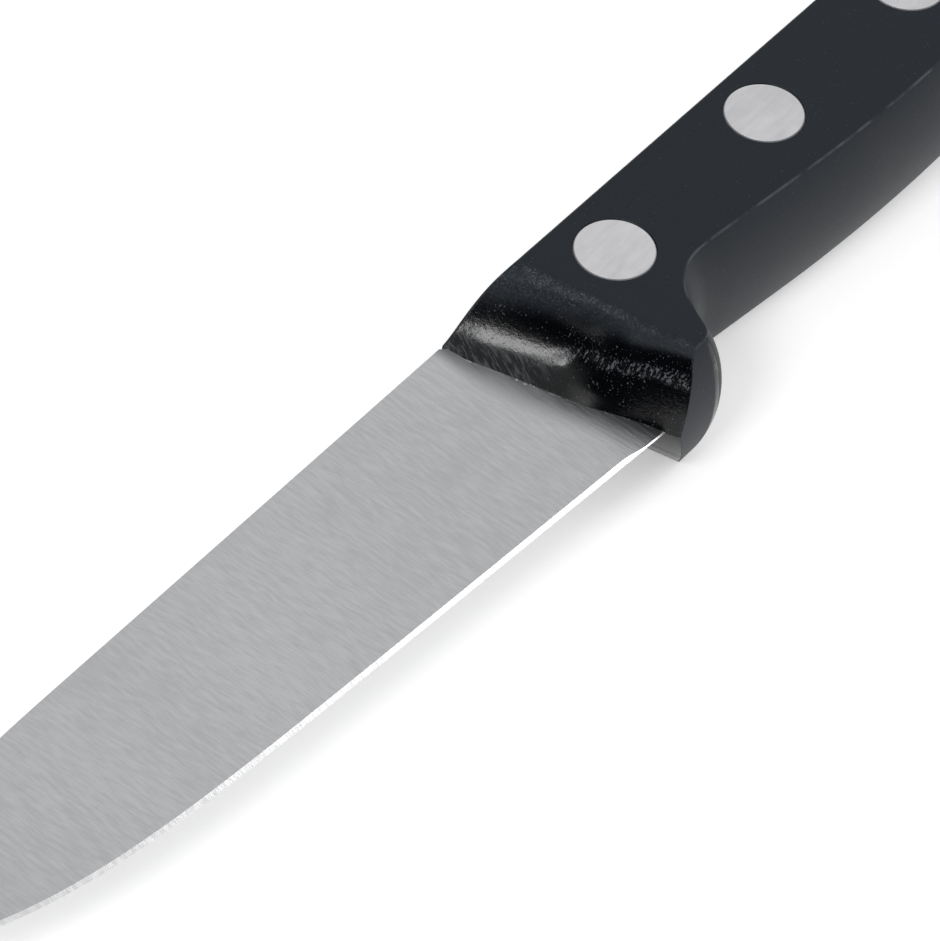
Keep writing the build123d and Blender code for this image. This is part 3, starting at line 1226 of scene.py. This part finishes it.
@dataclass(frozen=True)
class ScalePlastic:
    """Black moulded plastic: satin on the flat side and rim, glossy on the front slope, which bears
    painted light.
    """

    bench: Bench
    half_thickness: float
    dark: Triple = (0.0003, 0.0035, 0.0085)
    light: Triple = (0.0012, 0.0055, 0.0125)
    slope_shade: Triple = (0.0004, 0.0008, 0.0016)
    speck_and_painted_light: Triple = (0.1, 0.112, 0.122)
    ior: float = 1.39
    satin_roughness: float = 0.5
    worn_roughness: float = 0.62
    gloss_roughness: float = 0.17
    relief: Pair = (1.0, 0.0001)
    grain_scale: float = 2600.0
    speck_scale: float = 5200.0
    cloud_scale: float = 120.0
    patch_scale: float = 420.0
    tick_scale: Triple = (800.0, 3400.0, 3400.0)
    tick_way: Triple = (0.77, -0.09, 0.63)
    streak_scale: Triple = (420.0, 3000.0, 3000.0)
    streak_way: Triple = (-0.34, -0.9, -0.36)
    lip_start: Pair = (0.02, 0.06)
    lip_end: Pair = (0.16, 0.3)

    def material(self) -> bpy.types.Material:
        """Grain, pale specks, and painted light that pales it.

        The specks lie thicker round the crease and on the slope. The painted light is a highlight
        line on the rounding at the flat side's edge, sheen round the crease, a highlight line along
        the crease's top and the slope's border at the guard, short highlight ticks where the
        slope's highlight frays, and a reflection of the blade's ground lines low on the slope,
        which also bears scratches in relief.

        Returns:
            The material.
        """
        skin, plan = NodePlan.for_skin("handle_plastic_black")
        turn, foot, frayed = map(plan.stored, ("crease_turn", "slope_foot", "slope_frayed"))
        spine, dull, guard_border = map(plan.stored, ("crease_spine", "slope_dull", "border_highlight"))
        place = plan.stretched((1.0, 1.0, 1.0))
        grain = plan.noise(place, scale=self.grain_scale, roughness=0.6)
        dots = plan.noise(place, scale=self.speck_scale, detail=1.0)
        cloud = plan.noise(place, scale=self.cloud_scale)
        patch = plan.noise(place, scale=self.patch_scale, detail=2.0)
        along = plan.stretched(self.streak_scale, self.streak_way)
        streaks = plan.noise(along, roughness=0.65)
        nick = plan.noise(plan.stretched(self.tick_scale, self.tick_way), roughness=0.65)

        slope = turn.step(0.7, 2.6)
        crease = turn.step(0.0, 0.06) * (1.0 - turn.step(0.5, 2.2))
        # The crease's top and the slope's border at the guard, where a highlight line is painted.
        ridge = turn.step(0.0, 0.1) * (1.0 - turn.step(0.25, 0.6)) + guard_border
        # A thin band just below the flat side's level, on the rounding at its edge, where a
        # highlight line is painted.
        level = plan.signal("ShaderNodeSeparateXYZ", {0: place}, "Z")
        below = self.half_thickness * MM - abs(level - self.bench.origin[2])
        lip_start, lip_end = ([end * MM for end in ends] for ends in (self.lip_start, self.lip_end))
        edge_highlight = below.step(*lip_start) * (1.0 - below.step(*lip_end))
        edge_highlight = edge_highlight * (1.0 - turn.step(0.0, 0.02))

        often = crease * (spine * 0.045 + 0.035) + slope * 0.07 - foot * 0.06
        often = often + (patch - 0.5) * 0.25 - 0.01
        specks = (dots + often).step(0.74, 0.81)
        # Painted highlight: short pale ticks in the strip where the slope's highlight frays.
        ticks = (nick + (dots - 0.5) * 0.4).step(0.535, 0.63) * frayed * 1.2
        # Painted highlight along the crease's top and the guard border, broken into patches.
        ridge_highlight = ridge * patch.step(0.4, 0.6) * (0.08 + dots.step(0.52, 0.64) * 0.3)
        # Painted sheen round the crease, stronger towards the spine.
        crease_sheen = crease * (grain * 0.6 + dots * 0.4).step(0.42, 0.6) * (spine * 0.1 + 0.08)
        # Painted reflection of the blade's ground lines on the slope's foot, whose streaks also
        # stand in relief.
        lines = foot * streaks.step(0.48, 0.62) * 0.45
        # The painted highlight line at the flat side's edge, broken into patches.
        edge = edge_highlight * patch.step(0.35, 0.65) * 0.5
        pale = specks * (0.7 - crease * 0.3) + ticks + ridge_highlight + crease_sheen + lines + edge

        height = grain * (0.2 - foot * 0.15) + streaks * foot * 0.1
        height = height + nick * frayed * 0.7 + specks * 0.15
        mottle = (cloud * 0.6 + grain * 0.4).step(0.35, 0.65)
        # The front slope's black is deeper: painted shade.
        body = plan.tint(slope, plan.tint(mottle, self.dark, self.light), self.slope_shade)
        wearing = crease * (self.worn_roughness - self.satin_roughness)
        satin = self.satin_roughness + (cloud - 0.5) * 0.1 + wearing
        gloss = self.gloss_roughness + (grain - 0.5) * 0.12 + frayed * 0.06 + dull * 0.3
        plan.finish(
            {
                # Pale specks and all the painted light take the same pale colour.
                "Base Color": plan.tint(pale, body, self.speck_and_painted_light),
                "Roughness": satin * (1.0 - slope) + gloss * slope,
                "IOR": self.ior,
                "Normal": plan.bump(height, *self.relief),
            }
        )
        return skin


@dataclass(frozen=True)
class RivetMetal:
    """Flat head, ground flush with the handle, with painted shade at its edge."""

    bench: Bench
    rivets: RivetPattern
    dark: Triple = (0.68, 0.68, 0.7)
    light: Triple = (0.78, 0.78, 0.8)
    seat_shade: Triple = (0.42, 0.42, 0.43)
    roughness: float = 0.38
    edge_roughness: float = 0.95
    edge_width: float = 0.14
    relief: Pair = (0.2, 0.00002)
    stroke_scale: Triple = (300.0, 1500.0, 300.0)
    cloud_scale: Triple = (220.0, 220.0, 220.0)

    def _face(self, plan: NodePlan) -> Signal:
        """1 on the heads' faces and 0 at their edges, by the distance from each head's centre.

        Args:
            plan: The material's nodes.

        Returns:
            The signal.
        """
        flat = plan.stretched((1.0, 1.0, 0.0))
        radius = self.rivets.head_radius
        ends = ((radius - self.edge_width) * MM, (radius - self.edge_width / 2) * MM)
        places = self.rivets.places()
        spots = self.bench.place(np.column_stack([places, np.zeros(len(places))]))
        spots[:, 2] = 0.0
        faces = []
        for spot in spots.tolist():
            reach = plan.vector("DISTANCE", flat, spot, "Value")
            faces.append(1.0 - reach.step(*ends))
        return sum(faces[1:], faces[0])

    def material(self) -> bpy.types.Material:
        """Pale satin metal with faint grinding lines, and painted shade where the head meets its
        seat.

        Returns:
            The material.
        """
        skin, plan = NodePlan.for_skin("rivet_metal_ground")
        line = plan.noise(plan.stretched(self.stroke_scale), detail=4.0, roughness=0.65)
        cloud = plan.noise(plan.stretched(self.cloud_scale))
        face = self._face(plan)
        ground = plan.tint((line * 0.5 + cloud * 0.5).step(0.35, 0.65), self.dark, self.light)
        roughness = (self.roughness + (cloud - 0.5) * 0.12) * face
        plan.finish(
            {
                # Each head's edge ring takes painted shade, where the head meets its seat.
                "Base Color": plan.tint(face, self.seat_shade, ground),
                "Metallic": 1.0,
                "Roughness": roughness + (1.0 - face) * self.edge_roughness,
                "Normal": plan.bump(line, *self.relief),
            }
        )
        return skin


@dataclass
class Rivets:
    """The three two-part rivets, whose modelled solids are shown as they are."""

    names: tuple[str, ...] = ("front", "middle", "rear")
    halves: tuple[str, ...] = ("socket", "pin")

    def dress(self, nodes: dict[str, bpy.types.Object], skin: bpy.types.Material) -> None:
        """Gives every half its finish.

        Args:
            nodes: The model's own pieces by name.
            skin: The rivets' material.
        """
        for name in self.names:
            for half in self.halves:
                piece = nodes[f"{name}_rivet_{half}"]
                piece.data.materials.clear()
                piece.data.materials.append(skin)
                log.info("dressed %s", piece.name)


@dataclass(frozen=True)
class Lamp:
    """A rectangular soft lamp that faces the knife. Lengths in metres.

    The way goes from the knife to the lamp, along is the direction of its long side, and the
    radiance is the brightness of its surface.
    """

    name: str
    way: Triple
    along: Triple
    distance: float
    size: Pair
    radiance: float

    def hang(self) -> None:
        """Adds the lamp: its energy is radiance times pi times its area."""
        data = bpy.data.lights.new(self.name, "AREA")
        data.shape = "RECTANGLE"
        data.size, data.size_y = self.size
        data.energy = self.radiance * math.pi * self.size[0] * self.size[1]
        lamp = bpy.data.objects.new(self.name, data)
        bpy.context.scene.collection.objects.link(lamp)
        back = Vector(self.way).normalized()
        up = back.cross(Vector(self.along)).normalized()
        turn = Matrix((up.cross(back), up, back)).transposed().to_4x4()
        lamp.matrix_world = Matrix.Translation(back * self.distance) @ turn


@dataclass
class Studio:
    """Floor, light and camera.

    Lengths are in metres, but the eye, the aim and the sensor in millimetres, and the roll in
    degrees.
    """

    bench: Bench
    floor_size: float = 40.0
    floor_gap: float = 0.00002
    floor_colour: Triple = (0.82, 0.82, 0.82)
    floor_roughness: float = 0.9
    floor_lift: float = 0.4
    sky_dim: float = 0.02
    sky_bright: float = 0.72
    sky_lean: Triple = (1.0, -0.2, 0.3)
    sky_turn: Pair = (-0.8, -0.25)
    lamps: tuple[Lamp, ...] = (
        Lamp("key", (-0.68, -0.04, 0.72), (0.0, 1.0, 0.0), 1.0, (0.3, 0.27), 13.0),
        Lamp("fill", (0.6, -0.32, 0.73), (0.5, 0.5, 0.0), 1.2, (0.34, 0.34), 2.8),
    )
    eye: Triple = (-337.54, -209.06, 413.62)
    aim: Triple = (-25.28, -3.17, 0.0)
    roll: float = 6.432
    focal_pixels: float = 6000.0
    frame_pixels: float = 941.0
    sensor: float = 36.0
    nearest: float = 0.01

    def floor(self) -> None:
        """A plain white floor that shows its own colour to the eye and keeps the knife's shadow."""
        half = self.floor_size / 2
        mesh = bpy.data.meshes.new("floor")
        spread = half * np.array([[-1.0, -1.0], [1.0, -1.0], [1.0, 1.0], [-1.0, 1.0]])
        corners = np.column_stack([spread, np.full(len(spread), -self.floor_gap)])
        mesh.from_pydata(corners, [], [[0, 1, 2, 3]])
        ground = bpy.data.objects.new("floor", mesh)
        bpy.context.scene.collection.objects.link(ground)
        skin, plan = NodePlan.for_skin("floor_white")
        path = plan.add("ShaderNodeLightPath")
        rays = ("Is Camera Ray", "Is Glossy Ray", "Is Transmission Ray")
        camera, glossy, through = (Signal(plan, path.outputs[ray]) for ray in rays)
        seen = camera + glossy + through
        plan.finish(
            {
                "Base Color": (*self.floor_colour, 1.0),
                "Roughness": self.floor_roughness,
                "Specular IOR Level": 0.0,
                "Emission Color": plan.tint(seen, (0.0, 0.0, 0.0), (1.0, 1.0, 1.0)),
                "Emission Strength": self.floor_lift,
            }
        )
        mesh.materials.append(skin)

    def sky(self) -> None:
        """Light from a dome that is bright but for a dim part beyond the blade's tip."""
        world = bpy.data.worlds.new("studio_dome")
        world.use_nodes = True
        plan = NodePlan(world.node_tree)
        way = plan.signal("ShaderNodeTexCoord", {}, "Generated")
        facing = plan.vector("DOT_PRODUCT", way, self.sky_lean, "Value")
        glow = plan.tint(facing.step(*self.sky_turn), (self.sky_dim,) * 3, (self.sky_bright,) * 3)
        shader = plan.add("ShaderNodeBackground", {"Color": glow, "Strength": 1.0})
        plan.add("ShaderNodeOutputWorld", {"Surface": shader.outputs[0]})
        bpy.context.scene.world = world

    def camera(self) -> None:
        """The photograph's point of view, measured from the knife's own origin."""
        eye, aim = Vector(self.eye) * MM, Vector(self.aim) * MM
        data = bpy.data.cameras.new("camera")
        data.sensor_width = self.sensor
        data.lens = self.focal_pixels / self.frame_pixels * self.sensor
        data.clip_start = self.nearest
        camera = bpy.data.objects.new("camera", data)
        bpy.context.scene.collection.objects.link(camera)
        roll = Matrix.Rotation(math.radians(self.roll), 3, "Z")
        turn = (aim - eye).to_track_quat("-Z", "Y").to_matrix() @ roll
        place = Matrix.Translation(Vector(self.bench.origin) + eye)
        camera.matrix_world = place @ turn.to_4x4()
        bpy.context.scene.camera = camera

    def build(self) -> None:
        """Sets up the floor, the dome, one key lamp over the blade, one fill, and the camera."""
        self.floor()
        self.sky()
        for lamp in self.lamps:
            lamp.hang()
        self.camera()


def adopt(
    piece: bpy.types.Object, node: str, skins: list[bpy.types.Material]
) -> None:
    """Dresses a new piece and gives it the place of the modelled one.

    Args:
        piece: The new piece.
        node: The modelled piece that it stands for.
        skins: Its materials in order.
    """
    for skin in skins:
        piece.data.materials.append(skin)
    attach(piece, ROOT_BODY)
    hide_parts(node)
    log.info("built %s with %d faces", piece.name, len(piece.data.polygons))


def main() -> None:
    """Builds and dresses the knife, then sets the studio."""
    logging.basicConfig(level=logging.INFO, format="%(message)s")
    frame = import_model()
    bench, handle, rivets = Bench.from_frame(), HandleShape(), RivetPattern()
    scales = Scales(handle, rivets, bench)
    plastic = ScalePlastic(bench, handle.half_thickness).material()
    for side, node in ((Side.NEAR, "near_scale"), (Side.FAR, "far_scale")):
        adopt(scales.build(side), node, [plastic])
    blade = BladeShape(handle, rivets, bench).build()
    adopt(blade, "blade", [GroundSteel().material(), WhettedSteel().material()])
    Rivets().dress(frame["nodes"], RivetMetal(bench, rivets).material())
    Studio(bench).build()
    settings = bpy.context.scene.view_settings
    settings.view_transform = "Standard"


if __name__ == "__main__":
    main()
